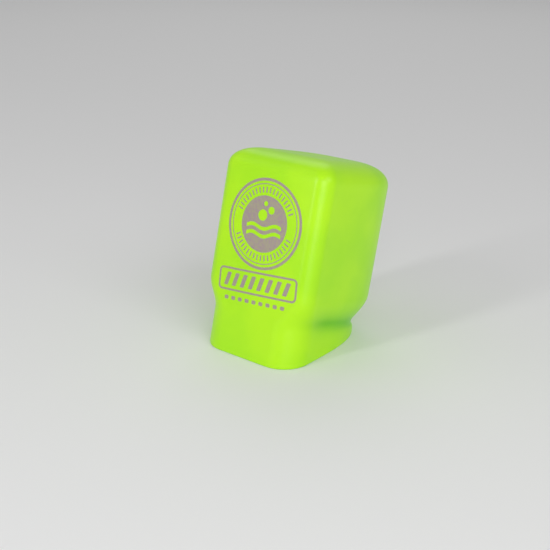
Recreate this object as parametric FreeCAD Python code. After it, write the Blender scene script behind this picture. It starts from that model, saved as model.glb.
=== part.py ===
"""Soft protector cap for the valve on top of a diving cylinder.

The cap is one hollow moulding of soft vinyl. A box-like body with a flat front, bowed sides and a
closed, rounded top steps in at a shoulder to a shorter and rounder neck. The neck is trimmed at a
slant, so the cap stands on its rim and leans back. The emblem is a film of pad-printing ink on the
flat front: each separate area of ink is a node of its own.

Two frames are used, both in millimetres. In the cap's own frame X runs across the front, Y towards
the back and Z up the cap's axis, with z = 0 at the middle of the shoulder. The files are written in
the standing frame: the rim lies on the plane z = 0, the front faces -Y, and the origin is the middle
of the bounding box's lower face.
"""
import FreeCAD, Part
import math
import os

Vec = FreeCAD.Vector

# ---- Driving dimensions: the moulding ----
WALL = 2.5                # vinyl left by the dip
TOP_HEIGHT = 60.0         # crease to the flat of the top
BODY_HALF_WIDTH = 25.9
FRONT = 25.7              # axis to the flat front, which runs straight down over the neck
BODY_BACK = 31.0          # axis to the back
BODY_CORNER = 6.0         # radius of the two front edges
BODY_FULLNESS = 4.5       # superellipse exponent of the sides and back: 2 is an ellipse, more is boxier
NECK_HALF_WIDTH = 23.4
NECK_BACK = 29.0
NECK_CORNER = 11.6
NECK_FULLNESS = 3.4
SHOULDER_HALF = 6.2       # half the height over which the body blends into the neck
ROUND_INSET = 13.6        # how far in, and how far down, the top's rounding reaches
ROUND_DROP = 8.8
ROUND_FULLNESS = 2.27
CORNER_FADE = 0.8         # share of a front edge's radius that is lost across the top's rounding
RIM_FRONT_Z = -22.0       # rim height at the front of the neck
RIM_SLOPE = 0.236         # rise of the rim for each millimetre towards the back

# ---- Driving dimensions: the print ----
INK = 0.15                # ink film, thicker than the real one so that it is a solid
PRINT_X = 0.3             # middle of the round emblem on the front
PRINT_Z = 32.0
PRINT_TURN = 4.5          # degrees that the whole print is turned by
RING_OUTER = 17.75
RING_WIDTH = 1.1
FINE_RING_OUTER = 15.65
FINE_RING_WIDTH = 0.35
TICK_INNER = 12.0
TICK_LENGTH = 2.4
TICK_WIDTH = 0.55
TICK_STEP = 7.5           # degrees between ticks
TICKS_EACH_SIDE = 9       # ticks on each side of the top one, and of the bottom one
DISC_RADIUS = 11.0
WAVE_HEIGHTS = (-1.1, -4.1)   # middle lines of the two clear waves across the disc
WAVE_BAND = 1.5
WAVE_RISE = 0.75
WAVE_HALF_LENGTH = 2.8    # half of one ripple
BUBBLES = ((-0.9, 3.4, 2.2), (3.1, 5.5, 1.5), (0.2, 7.9, 1.0))   # x, y and radius of each clear round
LABEL_CENTRE = (-0.9, -23.4)
LABEL_LENGTH = 38.4
LABEL_HEIGHT = 9.3
LABEL_LINE = 0.8
LABEL_CORNER = 1.9
STRIPES = 8
STRIPE_PITCH = 4.15
STRIPE_WIDTH = 2.0
STRIPE_HEIGHT = 5.2
STRIPE_LEAN = 1.7
DASH_CENTRE = (-1.3, -30.8)
DASHES = 9
DASH_PITCH = 3.45
DASH_LENGTH = 1.9
DASH_HEIGHT = 1.5

# ---- Construction settings ----
NECK_STOCK = 40.0         # how far the neck runs below the crease before the rim is trimmed
BLOCK = 200.0             # size of the blocks that trim the rim and carry the print
ARC_STEPS = 6             # points on each quarter of the superellipse
SHOULDER_STEPS = 4
ROUND_STEPS = 5

LEAN = math.degrees(math.atan(RIM_SLOPE))


def smoothstep(t):
    t = min(max(t, 0.0), 1.0)
    return t * t * (3 - 2 * t)


def mix(a, b, t):
    return a * (1 - t) + b * t


def plan_sizes(z, inset):
    """Half-width, front, back, corner radius and fullness of the outline at height z, moved in by inset."""
    share = smoothstep((z + SHOULDER_HALF) / (2 * SHOULDER_HALF))
    half_width = mix(NECK_HALF_WIDTH, BODY_HALF_WIDTH, share)
    back = mix(NECK_BACK, BODY_BACK, share)
    corner = mix(NECK_CORNER, BODY_CORNER, share)
    fullness = mix(NECK_FULLNESS, BODY_FULLNESS, share)
    rise = min(max(z - (TOP_HEIGHT - ROUND_DROP), 0.0) / (ROUND_DROP - inset), 1.0)
    turned = 1 - (1 - rise ** ROUND_FULLNESS) ** (1 / ROUND_FULLNESS)
    radius = (corner - inset) * (1 - CORNER_FADE * turned)
    move = inset + (ROUND_INSET - inset) * turned
    return half_width - move, FRONT - move, back - move, radius, fullness


def superellipse(share, half_width, side_y, depth, fullness):
    """Point at a share of the way from the right side, round the back, to the left side."""
    quarter = 1 - abs(2 * share - 1)
    rising, falling = quarter ** (fullness / 2), (1 - quarter) ** (fullness / 2)
    angle = 0.5 * math.pi * rising / (rising + falling)
    across = max(math.cos(angle), 0.0) ** (2 / fullness)
    if quarter == 1:
        across = 0.0
    behind = math.sin(angle) ** (2 / fullness)
    return math.copysign(half_width * across, 0.5 - share), side_y + depth * behind


def plan_wire(z, inset):
    """Closed outline at height z: straight front, two corner arcs, and one curve round sides and back."""
    half_width, front, back, radius, fullness = plan_sizes(z, inset)
    side_y = radius - front
    depth = back - side_y
    flat = half_width - radius
    diagonal = radius * math.sqrt(0.5)
    front_left = Vec(-flat, -front, z)
    front_right = Vec(flat, -front, z)
    right_mid = Vec(flat + diagonal, side_y - diagonal, z)
    left_mid = Vec(-flat - diagonal, side_y - diagonal, z)
    steps = 2 * ARC_STEPS
    shares = [step / steps for step in range(steps + 1)]
    sweep = [Vec(*superellipse(share, half_width, side_y, back - side_y, fullness), z) for share in shares]
    curve = Part.BSplineCurve()
    curve.interpolate(Points=sweep, Parameters=shares)
    edges = [
        Part.makeLine(front_left, front_right),
        Part.Arc(front_right, right_mid, sweep[0]).toShape(),
        curve.toShape(),
        Part.Arc(sweep[-1], left_mid, front_left).toShape(),
    ]
    return Part.Wire(edges)


def cap_solid(inset):
    """The cap as a filled body, with every wall moved in by inset, in its own frame."""
    round_start = TOP_HEIGHT - ROUND_DROP
    shoulder = [SHOULDER_HALF * (2 * step / SHOULDER_STEPS - 1) for step in range(SHOULDER_STEPS + 1)]
    turns = [0.5 * math.pi * step / ROUND_STEPS for step in range(ROUND_STEPS + 1)]
    rounding = [round_start + (ROUND_DROP - inset) * math.sin(turn) ** (2 / ROUND_FULLNESS) for turn in turns]
    pieces = [Part.makeLoft([plan_wire(z, inset) for z in heights], True, False) for heights in (shoulder, rounding)]
    for low, high in ((-NECK_STOCK, -SHOULDER_HALF), (SHOULDER_HALF, round_start)):
        end = Part.Face(plan_wire(high, inset))
        pieces.append(end.extrude(Vec(0, 0, low - high)))
    return pieces[0].fuse(pieces[1:])


def stand_up(shape):
    """Turn a shape from the cap's own frame so that the rim plane is level and at z = 0."""
    placed = shape.copy()
    placed.translate(Vec(0, FRONT, -RIM_FRONT_Z))
    placed.rotate(Vec(0, 0, 0), Vec(1, 0, 0), -LEAN)
    return placed


def make_shell():
    """The hollow moulding, standing on its trimmed rim."""
    outside = stand_up(cap_solid(0.0))
    inside = stand_up(cap_solid(WALL))
    waste = Part.makeBox(BLOCK, BLOCK, BLOCK, Vec(-BLOCK / 2, -BLOCK / 2, -BLOCK))
    return outside.cut(inside).cut(waste)


def ring(outer, width):
    """Flat annulus about the emblem's middle."""
    disc = Part.Face(Part.Wire(Part.makeCircle(outer)))
    hole = Part.Face(Part.Wire(Part.makeCircle(outer - width)))
    return disc.cut(hole)


def polygon(points):
    return Part.Face(Part.makePolygon([Vec(x, y, 0) for x, y in points + points[:1]]))


def rectangle(centre, length, height):
    x, y = centre
    half, rise = length / 2, height / 2
    return polygon([(x - half, y - rise), (x + half, y - rise), (x + half, y + rise), (x - half, y + rise)])


def rounded_rectangle(centre, length, height, radius):
    """Flat rectangle with round corners, made from a cross of two rectangles and four discs."""
    x, y = centre
    shape = rectangle(centre, length - 2 * radius, height)
    parts = [rectangle(centre, length, height - 2 * radius)]
    for side in (-1, 1):
        for end in (-1, 1):
            middle = Vec(x + side * (length / 2 - radius), y + end * (height / 2 - radius), 0)
            parts.append(Part.Face(Part.Wire(Part.makeCircle(radius, middle))))
    return shape.fuse(parts).removeSplitter()


def ticks():
    """Radial bars in the band between the rings, in an upper and a lower group."""
    bars = []
    for start in (0, 180):
        for step in range(-TICKS_EACH_SIDE, TICKS_EACH_SIDE + 1):
            bar = rectangle((0, TICK_INNER + TICK_LENGTH / 2), TICK_WIDTH, TICK_LENGTH)
            bar.rotate(Vec(0, 0, 0), Vec(0, 0, 1), start + step * TICK_STEP)
            bars.append(bar)
    return Part.makeCompound(bars)


def ripple(level):
    """Three joined arcs along the line y = level: up, down and up again."""
    arcs = []
    for span in (-1, 0, 1):
        middle = 2 * span * WAVE_HALF_LENGTH
        crest = level + (WAVE_RISE if span else -WAVE_RISE)
        start = Vec(middle - WAVE_HALF_LENGTH, level, 0)
        finish = Vec(middle + WAVE_HALF_LENGTH, level, 0)
        arcs.append(Part.Arc(start, Vec(middle, crest, 0), finish).toShape())
    return arcs


def wave(height):
    """A clear rippled band across the disc, at the given height of its middle line."""
    top, bottom = height + WAVE_BAND / 2, height - WAVE_BAND / 2
    reach = 3 * WAVE_HALF_LENGTH
    ends = [Part.makeLine(Vec(x, bottom, 0), Vec(x, top, 0)) for x in (-reach, reach)]
    outline = Part.sortEdges(ripple(top) + ripple(bottom) + ends)[0]
    return Part.Face(Part.Wire(outline))


def disc():
    """The filled middle of the emblem, with waves and rising bubbles left clear."""
    clear = [wave(height) for height in WAVE_HEIGHTS]
    for x, y, radius in BUBBLES:
        clear.append(Part.Face(Part.Wire(Part.makeCircle(radius, Vec(x, y, 0)))))
    return Part.Face(Part.Wire(Part.makeCircle(DISC_RADIUS))).cut(clear)


def label_frame():
    outer = rounded_rectangle(LABEL_CENTRE, LABEL_LENGTH, LABEL_HEIGHT, LABEL_CORNER)
    inner = rounded_rectangle(
        LABEL_CENTRE, LABEL_LENGTH - 2 * LABEL_LINE, LABEL_HEIGHT - 2 * LABEL_LINE, LABEL_CORNER - LABEL_LINE
    )
    return outer.cut(inner)


def label_stripes():
    """Slanted bars that fill the label."""
    bars = []
    middle_x, middle_y = LABEL_CENTRE
    for step in range(STRIPES):
        x = middle_x + (step - (STRIPES - 1) / 2) * STRIPE_PITCH
        low, high = middle_y - STRIPE_HEIGHT / 2, middle_y + STRIPE_HEIGHT / 2
        half, lean = STRIPE_WIDTH / 2, STRIPE_LEAN / 2
        corners = [(x - half - lean, low), (x + half - lean, low), (x + half + lean, high), (x - half + lean, high)]
        bars.append(polygon(corners))
    return Part.makeCompound(bars)


def dashes():
    """The row of short dashes under the label."""
    middle_x, middle_y = DASH_CENTRE
    row = []
    for step in range(DASHES):
        x = middle_x + (step - (DASHES - 1) / 2) * DASH_PITCH
        row.append(rectangle((x, middle_y), DASH_LENGTH, DASH_HEIGHT))
    return Part.makeCompound(row)


def print_on(artwork, film):
    """Lay flat artwork on the front: stand it up, push it through the ink film and keep what is inside."""
    flat = artwork.copy()
    flat.rotate(Vec(0, 0, 0), Vec(0, 0, 1), PRINT_TURN)
    flat.rotate(Vec(0, 0, 0), Vec(1, 0, 0), 90)
    flat.translate(Vec(PRINT_X, -BLOCK / 2, PRINT_Z))
    block = flat.extrude(Vec(0, BLOCK / 2, 0))
    return stand_up(film.common(block))


def make_parts():
    film = cap_solid(-INK).cut(cap_solid(0.0))
    artwork = {
        "print_outer_ring": ring(RING_OUTER, RING_WIDTH),
        "print_fine_ring": ring(FINE_RING_OUTER, FINE_RING_WIDTH),
        "print_bezel_ticks": ticks(),
        "print_wave_disc": disc(),
        "print_label_frame": label_frame(),
        "print_label_stripes": label_stripes(),
        "print_dash_row": dashes(),
    }
    parts = {"cap_shell": make_shell()}
    for name, flat in artwork.items():
        parts[name] = print_on(flat, film)
    return parts


def main():
    parts = make_parts()
    box = parts["cap_shell"].optimalBoundingBox()
    to_origin = Vec(-box.Center.x, -box.Center.y, 0)
    os.makedirs("parts", exist_ok=True)
    for name, shape in parts.items():
        shape.translate(to_origin)
        if not shape.isValid():
            raise RuntimeError(name + " is not a valid shape")
        shape.exportStep("parts/" + name + ".step")
        print(name, "solids", len(shape.Solids), "volume", round(shape.Volume, 2))
    print("cap size", round(box.XLength, 2), round(box.YLength, 2), round(box.ZLength, 2))


main()
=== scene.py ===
"""Looks of a soft protector cap for the valve on top of a diving cylinder.

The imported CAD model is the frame: it says where the cap stands and how large it is. This add-on
rebuilds the moulding as a fine mesh, lays the print on it, gives both their finishes and sets up a
plain studio. Lengths are in metres and angles in radians, apart from a few in degrees that say so.
"""

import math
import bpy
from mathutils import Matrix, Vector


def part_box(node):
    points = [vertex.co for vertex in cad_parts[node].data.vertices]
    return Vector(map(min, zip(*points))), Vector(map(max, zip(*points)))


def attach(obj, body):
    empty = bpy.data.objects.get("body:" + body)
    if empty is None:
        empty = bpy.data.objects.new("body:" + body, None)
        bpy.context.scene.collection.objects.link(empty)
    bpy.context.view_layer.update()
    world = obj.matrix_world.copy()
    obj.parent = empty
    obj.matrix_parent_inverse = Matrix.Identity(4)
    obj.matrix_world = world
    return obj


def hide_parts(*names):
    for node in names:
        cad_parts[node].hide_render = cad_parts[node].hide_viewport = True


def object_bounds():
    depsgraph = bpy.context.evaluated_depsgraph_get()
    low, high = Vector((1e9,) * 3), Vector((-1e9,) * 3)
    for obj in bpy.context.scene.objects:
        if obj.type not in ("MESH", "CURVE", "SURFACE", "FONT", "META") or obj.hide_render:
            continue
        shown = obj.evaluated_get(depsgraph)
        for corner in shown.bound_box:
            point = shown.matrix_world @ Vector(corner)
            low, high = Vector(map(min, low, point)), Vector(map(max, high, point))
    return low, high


bl_info = {
    "name": "Valve Protector Cap",
    "version": (1, 0, 0),
    "blender": (4, 5, 0),
    "location": "3D View > Sidebar > Valve Cap",
    "description": "Builds a soft printed protector cap for a diving cylinder's valve",
    "category": "Add Mesh",
}

import bpy
from bpy.props import FloatProperty, FloatVectorProperty, IntProperty, PointerProperty
from mathutils import Matrix, Vector

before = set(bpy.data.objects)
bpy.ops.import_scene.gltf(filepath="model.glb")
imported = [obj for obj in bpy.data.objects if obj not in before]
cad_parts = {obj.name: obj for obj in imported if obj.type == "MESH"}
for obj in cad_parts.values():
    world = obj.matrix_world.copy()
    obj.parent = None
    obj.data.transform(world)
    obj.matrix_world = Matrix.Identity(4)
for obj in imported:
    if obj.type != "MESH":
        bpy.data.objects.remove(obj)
CAD_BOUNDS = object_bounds()

MM = 0.001
BODY = "root"
SHELL_NODE = "cap_shell"
SHELL_PIECE = "cap_moulding"
PAINTED_CREASE_SHADE = "recess"       # mesh attribute for the painted shade: 1 in the bottom of the crease, falling to 0 away from it
SKIN_WELD = 0.000002    # points of the moulding that are nearer than this are one
FILM_WELD = 0.000001    # the same, for the ink


# ---------------------------------------------------------------- node graphs


class Value:
    """An output socket that can be used in arithmetic: each operation adds one Math node."""

    def __init__(self, graph, socket):
        self.graph = graph
        self.socket = socket

    def math(self, operation, *others):
        return self.graph.add("ShaderNodeMath", {"operation": operation}, dict(enumerate((self, *others))))

    def __add__(self, other):
        return self.math("ADD", other)

    __radd__ = __add__

    def __sub__(self, other):
        return self.math("SUBTRACT", other)

    def __rsub__(self, other):
        return self.graph.add("ShaderNodeMath", {"operation": "SUBTRACT"}, {0: other, 1: self})

    def __neg__(self):
        return self * -1.0

    def __mul__(self, other):
        return self.math("MULTIPLY", other)

    __rmul__ = __mul__

    def __truediv__(self, other):
        return self.math("DIVIDE", other)

    def __rtruediv__(self, other):
        return self.graph.add("ShaderNodeMath", {"operation": "DIVIDE"}, {0: other, 1: self})

    def __pow__(self, other):
        return self.math("POWER", other)

    def output(self, name):
        """Another output of the same node."""
        return Value(self.graph, self.socket.node.outputs[name])


class Graph:
    """A node tree being built."""

    def __init__(self, tree):
        self.tree = tree
        tree.nodes.clear()

    def add(self, kind, settings=None, sockets=None, output=0):
        """Add a node: its settings first, then a value or link for each socket, by name or number."""
        node = self.tree.nodes.new(kind)
        for name, value in (settings or {}).items():
            setattr(node, name, value)
        for key, value in (sockets or {}).items():
            if isinstance(value, Value):
                self.tree.links.new(value.socket, node.inputs[key])
            else:
                node.inputs[key].default_value = value
        return Value(self, node.outputs[output]) if node.outputs else None

    def vector(self, **axes):
        """A vector from X, Y and Z; one that is not given is zero."""
        return self.add("ShaderNodeCombineXYZ", sockets=axes)

    def vector_math(self, operation, *values, **named):
        return self.add("ShaderNodeVectorMath", {"operation": operation}, dict(enumerate(values)) | named)

    def position(self):
        """Each point's place, as its X; output("Y") gives its Y."""
        return self.add("ShaderNodeSeparateXYZ", sockets={0: self.add("GeometryNodeInputPosition")})


def clamp(value):
    """The value held between 0 and 1."""
    return value.math("MINIMUM", 1.0).math("MAXIMUM", 0.0)


def way(value, start, end):
    """How far a value has come from start to end, held between 0 and 1."""
    return clamp((value - start) / (end - start))


def smooth_way(value, start, end):
    """The same, leaving the start and reaching the end gently."""
    held = way(value, start, end)
    return held * held * (3.0 - held * 2.0)


def mix(low, high, share):
    """A number between low and high."""
    return low + (high - low) * share


def geometry_graph(name, settings):
    """A Geometry Nodes tree with an input for each setting; returns the graph and its inputs."""
    tree = bpy.data.node_groups.new(name, "GeometryNodeTree")
    tree.interface.new_socket("Geometry", in_out="OUTPUT", socket_type="NodeSocketGeometry")
    kinds = {
        float: "NodeSocketFloat",
        int: "NodeSocketInt",
        Vector: "NodeSocketVector",
        bpy.types.Object: "NodeSocketObject",
        bpy.types.Material: "NodeSocketMaterial",
    }
    for key, value in settings.items():
        tree.interface.new_socket(key, in_out="INPUT", socket_type=kinds[type(value)])
    graph = Graph(tree)
    group = graph.add("NodeGroupInput")
    return graph, {key: group.output(key) for key in settings}


def close_graph(graph, geometry, material):
    """End a Geometry Nodes tree in Realize Instances and Set Material."""
    real = graph.add("GeometryNodeRealizeInstances", sockets={0: geometry})
    finished = graph.add("GeometryNodeSetMaterial", sockets={"Geometry": real, "Material": material})
    graph.add("NodeGroupOutput", sockets={0: finished})


def run_graph(name, graph, settings):
    """Run a finished tree on an empty mesh, and keep the result as a plain mesh object."""
    carrier = bpy.data.objects.new(name + "_carrier", bpy.data.meshes.new(name + "_carrier"))
    bpy.context.scene.collection.objects.link(carrier)
    modifier = carrier.modifiers.new("build", "NODES")
    modifier.node_group = graph.tree
    for item in graph.tree.interface.items_tree:
        if item.in_out == "INPUT":
            modifier[item.identifier] = settings[item.name]
    carrier.update_tag()
    depsgraph = bpy.context.evaluated_depsgraph_get()
    mesh = bpy.data.meshes.new_from_object(carrier.evaluated_get(depsgraph))
    mesh.name = name
    carrier.modifiers.remove(modifier)
    bpy.data.objects.remove(carrier)
    piece = bpy.data.objects.new(name, mesh)
    bpy.context.scene.collection.objects.link(piece)
    return piece


# ---------------------------------------------------------------- properties


def length(name, description, millimetres):
    """A length property, given in millimetres and stored in metres."""
    return FloatProperty(
        name=name, description=description, default=millimetres * MM, unit="LENGTH", subtype="DISTANCE",
        precision=5)


def number(name, description, default):
    return FloatProperty(name=name, description=description, default=default)


def angle(name, description, degrees):
    return FloatProperty(name=name, description=description, default=math.radians(degrees), subtype="ANGLE")


def count(name, description, default):
    return IntProperty(name=name, description=description, default=default, min=1)


def power(name, description, watts):
    return FloatProperty(name=name, description=description, default=watts, min=0.0, unit="POWER")


def color(name, description, default):
    return FloatVectorProperty(
        name=name, description=description, default=default, size=3, min=0.0, max=1.0, subtype="COLOR")


class CapProperties(bpy.types.PropertyGroup):
    """Sizes of the moulding, in the cap's own frame: Z up its axis, zero at the shoulder."""

    wall: length("Wall", "Thickness of the vinyl", 2.5)
    top_height: length("Top height", "Shoulder to the flat of the top", 60.0)
    body_half_width: length("Body half width", "Axis to either side of the body", 25.9)
    front: length("Front", "Axis to the front, which runs straight down over the neck", 25.7)
    front_crown: length("Front crown", "How far the body's front falls back towards its two edges", 1.1)
    body_back: length("Body back", "Axis to the back of the body", 31.0)
    body_corner: length("Body corner", "Radius of the two front edges", 6.0)
    body_fullness: number("Body fullness", "Superellipse exponent of the sides and back", 4.5)
    neck_half_width: length("Neck half width", "Axis to either side of the neck", 23.4)
    neck_back: length("Neck back", "Axis to the back of the neck", 29.0)
    neck_corner: length("Neck corner", "Radius of the neck's front edges", 11.6)
    neck_fullness: number("Neck fullness", "Superellipse exponent of the neck's sides and back", 3.4)
    shoulder_half: length("Shoulder half height", "Half the height of the step from body to neck", 6.2)
    round_inset: length("Rounding inset", "How far in the top's rounding reaches", 13.6)
    round_drop: length("Rounding drop", "How far down the top's rounding reaches", 8.8)
    round_fullness: number("Rounding fullness", "Superellipse exponent of the top's rounding", 2.27)
    corner_fade: number("Corner fade", "Share of an edge's radius lost across the top's rounding", 0.8)
    rim_front: length("Rim depth", "Shoulder down to the rim, at the front", 22.0)
    rim_slope: number("Rim slope", "Rise of the rim for each unit towards the back", 0.236)
    rim_soft: length("Rim softening", "Height of the rounding on the cut rim", 0.9)
    around: count("Columns", "Mesh columns round the cap", 256)
    along: count("Rows", "Mesh rows from the top's middle, round the rim, to the ceiling's middle", 300)
    vinyl_color: color("Vinyl", "Pigment of the vinyl", (0.44, 0.77, 0.008))
    # Painted shade: a deeper green mixed into the crease stands in for the shade that falls there.
    crease_color: color(
        "Crease colour", "Deeper pigment where the dip pooled in the crease", (0.12, 0.45, 0.002))
    crease_stain: number("Crease stain", "How much of the deeper pigment shows in the crease", 0.85)
    # Painted glow: the vinyl gives off green light of its own, whatever lamps light it.
    glow_color: color("Glow", "Light that the fluorescent pigment gives back", (0.10, 1.0, 0.01))
    glow: number("Glow strength", "Strength of the pigment's own light", 0.08)
    crease: length("Crease", "Depth of the soft crease under the body's sides and back", 1.1)
    crease_height: length("Crease height", "Height over which the crease fades", 4.4)
    crease_drop: length("Crease drop", "Shoulder down to the crease, at the axis", 3.6)
    crease_slope: number("Crease slope", "Fall of the crease for each unit towards the back", 0.07)


# The properties that the moulding's shape doesn't need: the colours, the painted shade in the crease and
# the painted glow.
FINISH_PROPERTIES = ("vinyl_color", "crease_color", "crease_stain", "glow_color", "glow")


class PrintProperties(bpy.types.PropertyGroup):
    """Sizes of the print, in the plane of the front, with zero at the middle of the round emblem."""

    film: length("Film", "How far the ink stands above the vinyl", 0.05)
    sink: length("Sink", "How far the ink's underside lies in the vinyl", 0.05)
    turn: angle("Turn", "How far the print is turned from upright", 4.5)
    ring_outer: length("Ring radius", "Outer radius of the wide ring", 17.75)
    ring_width: length("Ring width", "Width of the wide ring", 1.1)
    fine_outer: length("Fine ring radius", "Outer radius of the fine ring", 15.65)
    fine_width: length("Fine ring width", "Width of the fine ring", 0.35)
    tick_inner: length("Tick inner radius", "Where the ticks start", 12.0)
    tick_length: length("Tick length", "Length of one tick", 2.4)
    tick_width: length("Tick width", "Width of one tick", 0.55)
    tick_step: angle("Tick step", "Turn from one tick to the next", 7.5)
    ticks: count("Ticks", "Ticks in each of the two groups", 19)
    disc_radius: length("Disc radius", "Radius of the filled middle", 11.0)
    upper_wave: length("Upper wave", "Height of the upper wave's middle line", -1.1)
    lower_wave: length("Lower wave", "Height of the lower wave's middle line", -4.1)
    wave_band: length("Wave band", "Height of each clear wave", 1.5)
    wave_rise: length("Wave rise", "Rise of a wave's crests", 0.75)
    wave_half: length("Ripple half length", "Half the length of one ripple", 2.8)
    label_shift: length("Label shift", "Label's middle to the right of the emblem's", -0.9)
    label_drop: length("Label drop", "Label's middle below the emblem's", 23.4)
    label_length: length("Label length", "Outer length of the label's frame", 38.4)
    label_height: length("Label height", "Outer height of the label's frame", 9.3)
    label_line: length("Label line", "Width of the frame's line", 0.8)
    label_corner: length("Label corner", "Outer radius of the frame's corners", 1.9)
    stripes: count("Stripes", "Slanted stripes in the label", 8)
    stripe_pitch: length("Stripe pitch", "Distance from one stripe to the next", 4.15)
    stripe_width: length("Stripe width", "Width of one stripe", 2.0)
    stripe_height: length("Stripe height", "Height of one stripe", 5.2)
    stripe_lean: length("Stripe lean", "How far a stripe's top is to the right of its foot", 1.7)
    dash_shift: length("Dash shift", "Row's middle to the right of the emblem's", -1.3)
    dash_drop: length("Dash drop", "Row's middle below the emblem's", 30.8)
    dashes: count("Dashes", "Dashes in the row", 9)
    dash_pitch: length("Dash pitch", "Distance from one dash to the next", 3.45)
    dash_length: length("Dash length", "Length of one dash", 1.9)
    dash_height: length("Dash height", "Height of one dash", 1.5)
    ink_color: color("Ink", "Colour of the printing ink", (0.34, 0.26, 0.27))


BUBBLES = ((-0.9, 3.4, 2.2), (3.1, 5.5, 1.5), (0.2, 7.9, 1.0))   # middle and radius of each, in mm
CIRCLE_POINTS = 128
WAVE_POINTS = 97        # along each edge of a wave
FILLET_POINTS = 6       # on each round corner of a label, bar or dash
EDGE_SPACING = 0.0005   # between the points of an outline, so that the film can bend
TICK_CORNER, STRIPE_CORNER, DASH_CORNER = 0.0001, 0.0002, 0.0003
DROP_START = 0.05       # how far in front of the vinyl the ink starts, before it is dropped on it
DROP_REACH = 0.1        # how far it may drop


class StudioProperties(bpy.types.PropertyGroup):
    """The floor, the lights and the camera."""

    azimuth: angle("Azimuth", "Camera's turn to the right of the cap's front", 38.53)
    elevation: angle("Elevation", "Camera's height as an angle", 20.47)
    roll: angle("Roll", "Camera's turn about its own line of sight", 1.04)
    distance: FloatProperty(
        name="Distance", description="Camera to the point it aims at", default=0.4034, unit="LENGTH")
    lens: FloatProperty(name="Lens", description="Focal length on a 36 mm frame, in mm", default=64.2)
    aim: FloatVectorProperty(
        name="Aim", description="Aimed point, from the middle of the cap's box", size=3,
        default=(-0.0077, -0.0062, -0.0139), subtype="XYZ", unit="LENGTH")
    key_power: power("Key", "Power of the small soft box near the camera", 1.95)
    strip_power: power("Strip", "Power of the narrow box that draws the highlight on the front edge", 1.7)
    right_power: power("Right", "Power of the high soft box on the right", 3.3)
    left_power: power("Left", "Power of the high soft box on the left", 0.6)
    back_power: power("Back", "Power of the soft box behind", 4.2)
    sky: number("Surroundings", "Brightness of the studio's walls", 0.4)
    floor_color: color("Floor", "Colour of the floor", (0.84, 0.84, 0.84))


# ---------------------------------------------------------------- finishes


def new_material(name):
    """A material, its graph, and the place of each point in the cap's frame."""
    material = bpy.data.materials.new(name)
    material.use_nodes = True
    graph = Graph(material.node_tree)
    return material, graph, graph.add("ShaderNodeTexCoord", output="Object")


def noise(graph, place, scale, detail, roughness):
    """Even noise; its scale is in swells for each metre."""
    return graph.add(
        "ShaderNodeTexNoise",
        sockets={"Vector": place, "Scale": scale, "Detail": detail, "Roughness": roughness})


def blend(graph, first, second, share):
    """A colour between two."""
    return graph.add(
        "ShaderNodeMix", {"data_type": "RGBA"}, {"Factor": share, 6: first, 7: second}, output=2)


def bump(graph, height, strength, distance, **normal):
    """A surface that rises and falls by up to distance, in metres."""
    return graph.add(
        "ShaderNodeBump", sockets={"Strength": strength, "Distance": distance, "Height": height} | normal)


def finish(graph, sockets):
    """End a material's graph in one Principled BSDF with these sockets."""
    surface = graph.add("ShaderNodeBsdfPrincipled", sockets=sockets)
    graph.add("ShaderNodeOutputMaterial", sockets={"Surface": surface})


def shaded(pigment, red=1.0, green=1.0, blue=1.0):
    """A property's colour with its channels scaled, and with the alpha that a socket takes."""
    return (pigment[0] * red, pigment[1] * green, pigment[2] * blue, 1.0)


def vinyl_material(settings):
    """Fluorescent dip-moulded vinyl: glossy, faintly uneven, with painted shade darkening the crease and a
    painted glow.
    """
    material, graph, place = new_material("cap_vinyl_gloss")
    cloud = noise(graph, place, scale=38.0, detail=3.0, roughness=0.5)
    swell = noise(graph, place, scale=60.0, detail=1.0, roughness=0.4)
    grain = noise(graph, place, scale=900.0, detail=2.0, roughness=0.6)
    deeper = shaded(settings.vinyl_color, red=0.86, green=0.94)
    clouded = blend(graph, deeper, shaded(settings.vinyl_color), smooth_way(cloud, 0.35, 0.65))
    recess = graph.add("ShaderNodeAttribute", {"attribute_name": PAINTED_CREASE_SHADE}, output="Fac")
    # Painted shade: the crease is darkened with a deeper green, standing in for the shade there.
    tone_and_painted_shade = blend(graph, clouded, shaded(settings.crease_color), recess * settings.crease_stain)
    soft = bump(graph, swell, strength=0.25, distance=0.0006)
    fine = bump(graph, grain, strength=0.10, distance=0.00004, Normal=soft)
    finish(graph, {
        "Base Color": tone_and_painted_shade,
        "Roughness": mix(0.26, 0.36, grain),
        "Normal": fine,
        "IOR": 1.45,
        "Specular IOR Level": 0.4,
        # Painted glow: the emission makes the vinyl brighter and greener without any lamp.
        "Emission Color": shaded(settings.glow_color),
        "Emission Strength": settings.glow,
    })
    return material


def ink_material(settings):
    """Pad-printing ink: matt, a little patchy where the pad lifted."""
    material, graph, place = new_material("print_ink_matt")
    patch = noise(graph, place, scale=800.0, detail=3.0, roughness=0.6)
    speck = noise(graph, place, scale=2600.0, detail=2.0, roughness=0.6)
    thin = shaded(settings.ink_color, red=1.04, green=1.22, blue=0.85)
    finish(graph, {
        "Base Color": blend(graph, thin, shaded(settings.ink_color), smooth_way(patch, 0.4, 0.65)),
        "Roughness": mix(0.42, 0.6, speck),
        "Normal": bump(graph, speck, strength=0.2, distance=0.00003),
    })
    return material


def floor_material(settings):
    """Smooth pale studio floor."""
    material, graph, place = new_material("studio_floor")
    fleck = noise(graph, place, scale=300.0, detail=2.0, roughness=0.5)
    finish(graph, {"Base Color": shaded(settings.floor_color), "Roughness": mix(0.75, 0.85, fleck)})
    return material


# ---------------------------------------------------------------- the moulding


def lean_matrix(cap):
    """The cap leans back until its slanted rim is level."""
    return Matrix.Rotation(-math.atan(cap.rim_slope), 4, "X")


def standing_matrix(cap):
    """From the cap's own frame to the standing one, where the rim plane is level at z = 0."""
    return lean_matrix(cap) @ Matrix.Translation((0.0, cap.front, cap.rim_front))


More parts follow.
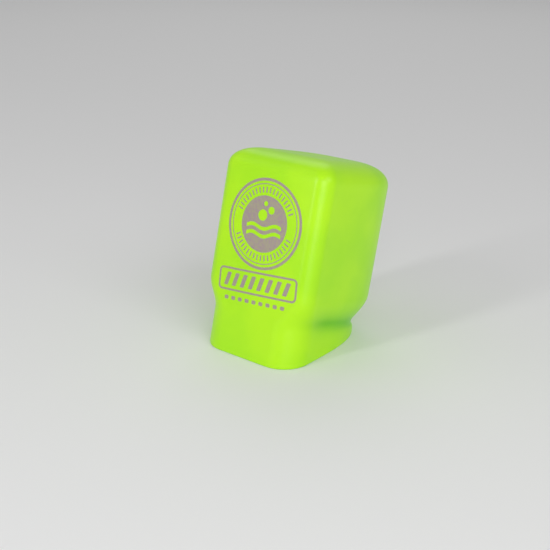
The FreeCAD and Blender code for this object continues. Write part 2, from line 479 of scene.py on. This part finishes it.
def emblem_matrix(cap):
    """From the print's flat plane to the standing cap's front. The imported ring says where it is."""
    low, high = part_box("print_outer_ring")
    middle = (Vector(low) + Vector(high)) / 2
    upright = Matrix.Rotation(math.pi / 2, 4, "X")
    return Matrix.Translation(middle) @ lean_matrix(cap) @ upright


def moulding_graph(settings):
    """The cap as one closed skin: a grid whose rows run from the top's middle down the outside, round
    the rim and up the inside, and whose columns go round the cap from the middle of the back."""
    graph, cap = geometry_graph(SHELL_PIECE, settings)
    grid = graph.add(
        "GeometryNodeMeshGrid",
        sockets={"Size X": 1.0, "Size Y": 1.0, "Vertices X": cap["around"], "Vertices Y": cap["along"]})
    across = graph.position()
    down = across.output("Y") + 0.5
    side = across.math("SIGN")
    turn = across.math("ABSOLUTE") * 2.0

    # Rows. Shares of the way from a middle of the top to the rim: flat, rounding, wall, cut rim.
    flat_end, round_end, wall_end = 0.06, 0.22, 0.92
    depth = clamp(1.0 - (down * 2.0 - 1.0).math("ABSOLUTE"))
    flat = way(depth, 0.0, flat_end)
    bend = way(depth, flat_end, round_end) * (math.pi / 2)
    wall = way(depth, round_end, wall_end)
    rim_turn = way(down, wall_end / 2, 1.0 - wall_end / 2) * math.pi
    rim_power = 2.0 / 3.0
    rim_cosine = rim_turn.math("COSINE")
    rim_share = rim_cosine.math("ABSOLUTE") ** rim_power * rim_cosine.math("SIGN")
    inset = cap["wall"] * (0.5 - rim_share * 0.5)
    rim_drop = cap["rim_soft"] * rim_turn.math("SINE") ** rim_power

    # Height in the cap's own frame, before the neck is drawn down to the slanted rim. Most of the
    # wall's rows are the body's and the shoulder's.
    neck_start = 0.8
    round_start = cap["top_height"] - cap["round_drop"]
    body_share = way(wall, 0.0, neck_start)
    neck_share = way(wall, neck_start, 1.0)
    round_power = 2.0 / cap["round_fullness"]
    rounding = (cap["round_drop"] - inset) * bend.math("COSINE") ** round_power
    height = round_start + rounding - body_share * (round_start + cap["shoulder_half"])
    turned = 1.0 - bend.math("SINE") ** round_power

    # Sizes of the outline at that height.
    share = smooth_way(height, -cap["shoulder_half"], cap["shoulder_half"])
    move = inset + (cap["round_inset"] - inset) * turned
    half_width = mix(cap["neck_half_width"], cap["body_half_width"], share) - move
    front = cap["front"] - move
    back = mix(cap["neck_back"], cap["body_back"], share) - move
    full_corner = mix(cap["neck_corner"], cap["body_corner"], share) - inset
    corner = full_corner * (1.0 - cap["corner_fade"] * turned)
    fullness = mix(cap["neck_fullness"], cap["body_fullness"], share)

    # Round the outline: straight front, corner arc, then a superellipse from the side to the back.
    front_end, corner_end = 0.15, 0.31
    straight = way(turn, 0.0, front_end)
    arc = way(turn, front_end, corner_end) * (math.pi / 2)
    sweep = way(turn, corner_end, 1.0)
    evener = fullness / 2.0
    rising = sweep ** evener
    sweep_angle = rising / (rising + (1.0 - sweep) ** evener) * (math.pi / 2)
    sweep_power = 2.0 / fullness
    reach = straight * (half_width - corner) + corner * arc.math("SINE")
    x = reach * clamp(sweep_angle.math("COSINE")) ** sweep_power
    side_y = corner - front
    behind = (back - side_y) * sweep_angle.math("SINE") ** sweep_power
    y = corner * (1.0 - arc.math("COSINE")) - front + behind
    crown = (x / cap["body_half_width"]) ** 2.0 * clamp(-(y / cap["front"])) * share
    y = y + cap["front_crown"] * crown

    # The crease is deepest at the back, and fades out along the sides before it meets the front. The
    # fade runs between these shares of the depth, where the axis is 0 and the front is -1. The neck's
    # rows are still at one height here, so the crease counts each as lower, the nearer it is the rim.
    fade_start, fade_end = -0.95, -0.2
    neck_clear = 0.6
    down_neck = neck_share * cap["rim_front"] * neck_clear
    above_crease = height - down_neck + cap["crease_drop"] + cap["crease_slope"] * y
    off_crease = above_crease / cap["crease_height"]
    recess = smooth_way(y / cap["front"], fade_start, fade_end) / (1.0 + off_crease ** 2.0 * 2.0)
    groove = 1.0 - recess * cap["crease"] / half_width
    x = x * groove
    y = y * groove

    # The flat of the top closes to its middle; the neck is drawn down to the slanted cut.
    middle_y = (back - front) / 2.0
    rim_height = cap["rim_slope"] * (y + cap["front"]) - cap["rim_front"] + cap["rim_soft"]
    height = height + neck_share * (rim_height + cap["shoulder_half"]) - rim_drop
    spot = graph.vector(X=side * x * flat, Y=mix(middle_y, y, flat), Z=height)
    # The stored crease mask tells the vinyl where to paint shade into the crease.
    marked = graph.add(
        "GeometryNodeStoreNamedAttribute", {"data_type": "FLOAT", "domain": "POINT"},
        {"Geometry": grid, "Name": PAINTED_CREASE_SHADE, "Value": recess})
    skin = graph.add("GeometryNodeSetPosition", sockets={"Geometry": marked, "Position": spot})
    skin = graph.add("GeometryNodeMergeByDistance", sockets={"Geometry": skin, "Distance": SKIN_WELD})
    skin = graph.add("GeometryNodeSetShadeSmooth", sockets={"Geometry": skin, "Shade Smooth": True})
    close_graph(graph, skin, cap["material"])
    return graph


class VALVECAP_OT_moulding(bpy.types.Operator):
    """Build the hollow vinyl moulding"""

    bl_idname = "valvecap.moulding"
    bl_label = "Moulding"

    def execute(self, context):
        cap = context.scene.valve_cap
        names = [name for name in CapProperties.__annotations__ if name not in FINISH_PROPERTIES]
        settings = {name: getattr(cap, name) for name in names}
        settings["material"] = vinyl_material(cap)
        shell = run_graph(SHELL_PIECE, moulding_graph(settings), settings)
        shell.data.transform(standing_matrix(cap))

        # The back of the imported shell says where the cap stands.
        back_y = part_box(SHELL_NODE)[1][1]
        highest_y = max(vertex.co.y for vertex in shell.data.vertices)
        shell.data.transform(Matrix.Translation((0.0, back_y - highest_y, 0.0)))
        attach(shell, BODY)
        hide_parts(SHELL_NODE)
        return {"FINISHED"}


# ---------------------------------------------------------------- the print
#
# Each art function draws one area of ink in the flat plane of the print. Then lay_ink turns the
# artwork, drops it on the moulding and gives it its thickness.


def circle(graph, radius, x=0.0, y=0.0):
    """A round outline, its middle at x and y."""
    outline = graph.add(
        "GeometryNodeCurvePrimitiveCircle", sockets={"Resolution": CIRCLE_POINTS, "Radius": radius})
    return shifted(graph, outline, x, y)


def shifted(graph, geometry, x, y):
    return graph.add(
        "GeometryNodeTransform", sockets={"Geometry": geometry, "Translation": graph.vector(X=x, Y=y)})


def joined(graph, geometries):
    """Several geometries as one."""
    node = graph.add("GeometryNodeJoinGeometry")
    for geometry in reversed(geometries):
        graph.tree.links.new(geometry.socket, node.socket.node.inputs[0])
    return node


def round_box(graph, wide, high, radius, lean=0.0):
    """A rectangle's outline with round corners; lean moves its top to the right of its foot."""
    outline = graph.add(
        "GeometryNodeCurvePrimitiveQuadrilateral", {"mode": "RECTANGLE"}, {"Width": wide, "Height": high})
    slide = graph.vector(X=graph.position().output("Y") / high * lean)
    leaning = graph.add("GeometryNodeSetPosition", sockets={"Geometry": outline, "Offset": slide})
    return graph.add(
        "GeometryNodeFilletCurve", {"mode": "POLY"},
        {"Curve": leaning, "Count": FILLET_POINTS, "Radius": radius, "Limit Radius": True})


def filled(graph, *outlines):
    """Flat faces between outlines, with even points along the edges."""
    even = graph.add(
        "GeometryNodeResampleCurve", {"mode": "LENGTH"},
        {"Curve": joined(graph, outlines), "Length": EDGE_SPACING})
    return graph.add("GeometryNodeFillCurve", {"mode": "TRIANGLES"}, {"Curve": even})


def row_of(graph, shape, total, pitch):
    """Copies of a shape in a row about the middle."""
    line = graph.add(
        "GeometryNodeMeshLine",
        sockets={
            "Count": total,
            "Start Location": graph.vector(X=(total - 1.0) * pitch * -0.5),
            "Offset": graph.vector(X=pitch),
        })
    return graph.add("GeometryNodeInstanceOnPoints", sockets={"Points": line, "Instance": shape})


def lay_ink(graph, artwork, ink):
    """Turn flat artwork, drop it on the vinyl along the front's normal and make it a closed film."""
    flat = graph.add("GeometryNodeRealizeInstances", sockets={0: artwork})
    turned = graph.add(
        "GeometryNodeTransform", sockets={"Geometry": flat, "Rotation": graph.vector(Z=ink["turn"])})
    placed = graph.add(
        "GeometryNodeTransform",
        sockets={"Geometry": turned, "Translation": ink["middle"], "Rotation": ink["facing"]})

    vinyl = graph.add(
        "GeometryNodeObjectInfo", {"transform_space": "ORIGINAL"}, {"Object": ink["vinyl"]},
        output="Geometry")
    outward = ink["normal"]
    inward = graph.vector_math("SCALE", outward, Scale=-1.0)
    place = graph.add("GeometryNodeInputPosition")
    start = graph.vector_math("MULTIPLY_ADD", outward, (DROP_START,) * 3, place)
    hit = graph.add(
        "GeometryNodeRaycast",
        sockets={
            "Target Geometry": vinyl,
            "Source Position": start,
            "Ray Direction": inward,
            "Ray Length": DROP_REACH,
        },
        output="Hit Position")
    foot = graph.vector_math("ADD", hit, graph.vector_math("SCALE", inward, Scale=ink["sink"]))

    under = graph.add("GeometryNodeSetPosition", sockets={"Geometry": placed, "Position": foot})
    thickness = ink["film"] + ink["sink"]
    film = graph.add(
        "GeometryNodeExtrudeMesh", {"mode": "FACES"},
        {"Mesh": under, "Offset": outward, "Offset Scale": thickness, "Individual": False})
    flipped = graph.add("GeometryNodeFlipFaces", sockets={0: under})
    closed = graph.add(
        "GeometryNodeMergeByDistance",
        sockets={"Geometry": joined(graph, [film, flipped]), "Distance": FILM_WELD})
    close_graph(graph, closed, ink["material"])
    return graph


def ring_art(graph, ink):
    """The wide ring."""
    radius = ink["ring_outer"]
    return filled(graph, circle(graph, radius), circle(graph, radius - ink["ring_width"]))


def fine_ring_art(graph, ink):
    """The fine ring inside it."""
    radius = ink["fine_outer"]
    return filled(graph, circle(graph, radius), circle(graph, radius - ink["fine_width"]))


def ticks_art(graph, ink):
    """Two groups of radial ticks, above and below."""
    bar = filled(graph, round_box(graph, ink["tick_width"], ink["tick_length"], TICK_CORNER))
    bar = shifted(graph, bar, 0.0, ink["tick_inner"] + ink["tick_length"] / 2.0)
    points = graph.add("GeometryNodePoints", sockets={"Count": ink["ticks"]})
    steps = graph.add("GeometryNodeInputIndex") - (ink["ticks"] - 1.0) / 2.0
    upper = graph.add(
        "GeometryNodeInstanceOnPoints",
        sockets={"Points": points, "Instance": bar, "Rotation": graph.vector(Z=steps * ink["tick_step"])})
    half_turn = (0.0, 0.0, math.pi)
    lower = graph.add("GeometryNodeTransform", sockets={"Geometry": upper, "Rotation": half_turn})
    return joined(graph, [upper, lower])


def wave_outline(graph, ink, height):
    """Edge of one clear wave: a strip of three ripples, seen as its boundary."""
    ripples = 3
    total = ink["wave_half"] * (ripples * 2.0)
    strip = graph.add(
        "GeometryNodeMeshGrid",
        sockets={
            "Size X": total,
            "Size Y": ink["wave_band"],
            "Vertices X": WAVE_POINTS,
            "Vertices Y": 2,
        })
    lift = -((graph.position() / total * (ripples * math.pi)).math("COSINE") * ink["wave_rise"])
    wavy = graph.add(
        "GeometryNodeSetPosition", sockets={"Geometry": strip, "Offset": graph.vector(Y=lift + height)})
    faces = graph.add("GeometryNodeInputMeshEdgeNeighbors")
    edge = graph.add("FunctionNodeCompare", {"data_type": "INT", "operation": "EQUAL"}, {2: faces, 3: 1})
    return graph.add("GeometryNodeMeshToCurve", sockets={"Mesh": wavy, "Selection": edge})


def disc_art(graph, ink):
    """The filled disc, with two waves and three bubbles left clear."""
    outlines = [circle(graph, ink["disc_radius"])]
    outlines += [wave_outline(graph, ink, ink[name]) for name in ("upper_wave", "lower_wave")]
    outlines += [circle(graph, radius * MM, x * MM, y * MM) for x, y, radius in BUBBLES]
    return filled(graph, *outlines)


def frame_art(graph, ink):
    """The label's frame: a line with round corners."""
    wide, high, line = ink["label_length"], ink["label_height"], ink["label_line"]
    outer = round_box(graph, wide, high, ink["label_corner"])
    inner = round_box(graph, wide - line * 2.0, high - line * 2.0, ink["label_corner"] - line)
    return shifted(graph, filled(graph, outer, inner), ink["label_shift"], -ink["label_drop"])


def stripes_art(graph, ink):
    """The row of slanted stripes in the label."""
    bar = round_box(
        graph, ink["stripe_width"], ink["stripe_height"], STRIPE_CORNER, ink["stripe_lean"])
    row = row_of(graph, filled(graph, bar), ink["stripes"], ink["stripe_pitch"])
    return shifted(graph, row, ink["label_shift"], -ink["label_drop"])


def dashes_art(graph, ink):
    """The row of dashes under the label."""
    bar = round_box(graph, ink["dash_length"], ink["dash_height"], DASH_CORNER)
    row = row_of(graph, filled(graph, bar), ink["dashes"], ink["dash_pitch"])
    return shifted(graph, row, ink["dash_shift"], -ink["dash_drop"])


# How each area of ink is drawn, and the properties that it is drawn from.
ARTWORK = {
    "print_outer_ring": (ring_art, "ring_outer ring_width"),
    "print_fine_ring": (fine_ring_art, "fine_outer fine_width"),
    "print_bezel_ticks": (ticks_art, "tick_inner tick_length tick_width tick_step ticks"),
    "print_wave_disc": (disc_art, "disc_radius upper_wave lower_wave wave_band wave_rise wave_half"),
    "print_label_frame": (
        frame_art, "label_shift label_drop label_length label_height label_line label_corner"),
    "print_label_stripes": (
        stripes_art, "label_shift label_drop stripes stripe_pitch stripe_width stripe_height stripe_lean"),
    "print_dash_row": (dashes_art, "dash_shift dash_drop dashes dash_pitch dash_length dash_height"),
}


class VALVECAP_OT_print(bpy.types.Operator):
    """Lay the areas of printing ink on the front of the moulding"""

    bl_idname = "valvecap.print"
    bl_label = "Print"

    def execute(self, context):
        cap, sizes = context.scene.valve_cap, context.scene.valve_cap_print
        place = emblem_matrix(cap)
        shared = {name: getattr(sizes, name) for name in ("film", "sink", "turn")}
        shared["middle"] = place.translation.copy()
        shared["facing"] = Vector(place.to_euler())
        shared["normal"] = Vector(place.col[2][:3])
        shared["vinyl"] = bpy.data.objects[SHELL_PIECE]
        shared["material"] = ink_material(sizes)
        for node, (draw, names) in ARTWORK.items():
            settings = shared | {name: getattr(sizes, name) for name in names.split()}
            graph, ink = geometry_graph(node, settings)
            graph = lay_ink(graph, draw(graph, ink), ink)
            area = run_graph(node.replace("print_", "ink_"), graph, settings)
            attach(area, BODY)
            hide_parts(node)
        return {"FINISHED"}


# ---------------------------------------------------------------- the studio


# Each soft box: its name, its azimuth and elevation in degrees, its distance, and its width and
# height.
SOFT_BOXES = (
    ("key", 44, 19, 0.75, (0.4, 0.4)),
    ("strip", -13, 24, 0.9, (0.09, 0.5)),
    ("right", 80, 38, 1.4, (0.7, 0.7)),
    ("left", -60, 45, 1.4, (0.7, 0.7)),
    ("back", 218, 45, 2.0, (1.2, 1.2)),
)
FLOOR_REACH = 8.0       # from the middle of the floor to each side
SENSOR_WIDTH = 36.0     # of the camera, in millimetres
NEAREST = 0.01          # the camera sees nothing nearer than this


def soft_box(name, place, aim, size, watts):
    """A rectangular area light at a place, facing a point."""
    data = bpy.data.lights.new(name, "AREA")
    data.shape = "RECTANGLE"
    data.size, data.size_y = size
    data.energy = watts
    light = bpy.data.objects.new(name, data)
    light.location = place
    light.rotation_euler = (aim - place).to_track_quat("-Z", "Y").to_euler()
    bpy.context.scene.collection.objects.link(light)


def around(middle, azimuth, elevation, distance):
    """A point at a bearing from the middle. Azimuth 0 is in front, and grows to the front's right."""
    level = distance * math.cos(elevation)
    height = distance * math.sin(elevation)
    return middle + Vector((level * math.sin(azimuth), -level * math.cos(azimuth), height))


class VALVECAP_OT_studio(bpy.types.Operator):
    """Set up the floor, the lights and the camera"""

    bl_idname = "valvecap.studio"
    bl_label = "Studio"

    def execute(self, context):
        studio = context.scene.valve_cap_studio
        low, high = (Vector(corner) for corner in CAD_BOUNDS)
        middle = (low + high) / 2

        mesh = bpy.data.meshes.new("studio_floor")
        signs = ((-1, -1), (1, -1), (1, 1), (-1, 1))
        corners = [(x * FLOOR_REACH, y * FLOOR_REACH, low.z) for x, y in signs]
        mesh.from_pydata(corners, [], [(0, 1, 2, 3)])
        mesh.materials.append(floor_material(studio))
        floor = bpy.data.objects.new("studio_floor", mesh)
        context.scene.collection.objects.link(floor)

        world = bpy.data.worlds.new("studio_walls")
        context.scene.world = world
        world.use_nodes = True
        graph = Graph(world.node_tree)
        white = (1.0, 1.0, 1.0, 1.0)
        light = graph.add("ShaderNodeBackground", sockets={"Color": white, "Strength": studio.sky})
        graph.add("ShaderNodeOutputWorld", sockets={"Surface": light})

        for name, azimuth, elevation, distance, size in SOFT_BOXES:
            place = around(middle, math.radians(azimuth), math.radians(elevation), distance)
            soft_box(name, place, middle, size, getattr(studio, name + "_power"))

        data = bpy.data.cameras.new("camera")
        data.lens = studio.lens
        data.sensor_width = SENSOR_WIDTH
        data.clip_start = NEAREST
        camera = bpy.data.objects.new("camera", data)
        target = middle + Vector(studio.aim)
        eye = around(target, studio.azimuth, studio.elevation, studio.distance)
        look = (target - eye).to_track_quat("-Z", "Y").to_matrix().to_4x4()
        camera.matrix_world = Matrix.Translation(eye) @ look @ Matrix.Rotation(studio.roll, 4, "Z")
        context.scene.collection.objects.link(camera)
        context.scene.camera = camera
        context.scene.view_settings.view_transform = "Standard"
        return {"FINISHED"}


# ---------------------------------------------------------------- add-on


class VALVECAP_PT_panel(bpy.types.Panel):
    """Sizes, colours and operators of the cap"""

    bl_idname = "VALVECAP_PT_panel"
    bl_label = "Valve Protector Cap"
    bl_space_type = "VIEW_3D"
    bl_region_type = "UI"
    bl_category = "Valve Cap"

    def draw(self, context):
        scene = context.scene
        for group, operator in (
            (scene.valve_cap, VALVECAP_OT_moulding),
            (scene.valve_cap_print, VALVECAP_OT_print),
            (scene.valve_cap_studio, VALVECAP_OT_studio),
        ):
            box = self.layout.box()
            for name in type(group).__annotations__:
                box.prop(group, name)
            box.operator(operator.bl_idname)


CLASSES = (
    CapProperties,
    PrintProperties,
    StudioProperties,
    VALVECAP_OT_moulding,
    VALVECAP_OT_print,
    VALVECAP_OT_studio,
    VALVECAP_PT_panel,
)


def register():
    for cls in CLASSES:
        bpy.utils.register_class(cls)
    bpy.types.Scene.valve_cap = PointerProperty(type=CapProperties)
    bpy.types.Scene.valve_cap_print = PointerProperty(type=PrintProperties)
    bpy.types.Scene.valve_cap_studio = PointerProperty(type=StudioProperties)


def unregister():
    del bpy.types.Scene.valve_cap
    del bpy.types.Scene.valve_cap_print
    del bpy.types.Scene.valve_cap_studio
    for cls in reversed(CLASSES):
        bpy.utils.unregister_class(cls)


def main():
    register()
    bpy.ops.valvecap.moulding()
    bpy.ops.valvecap.print()
    bpy.ops.valvecap.studio()


if __name__ == "__main__":
    main()
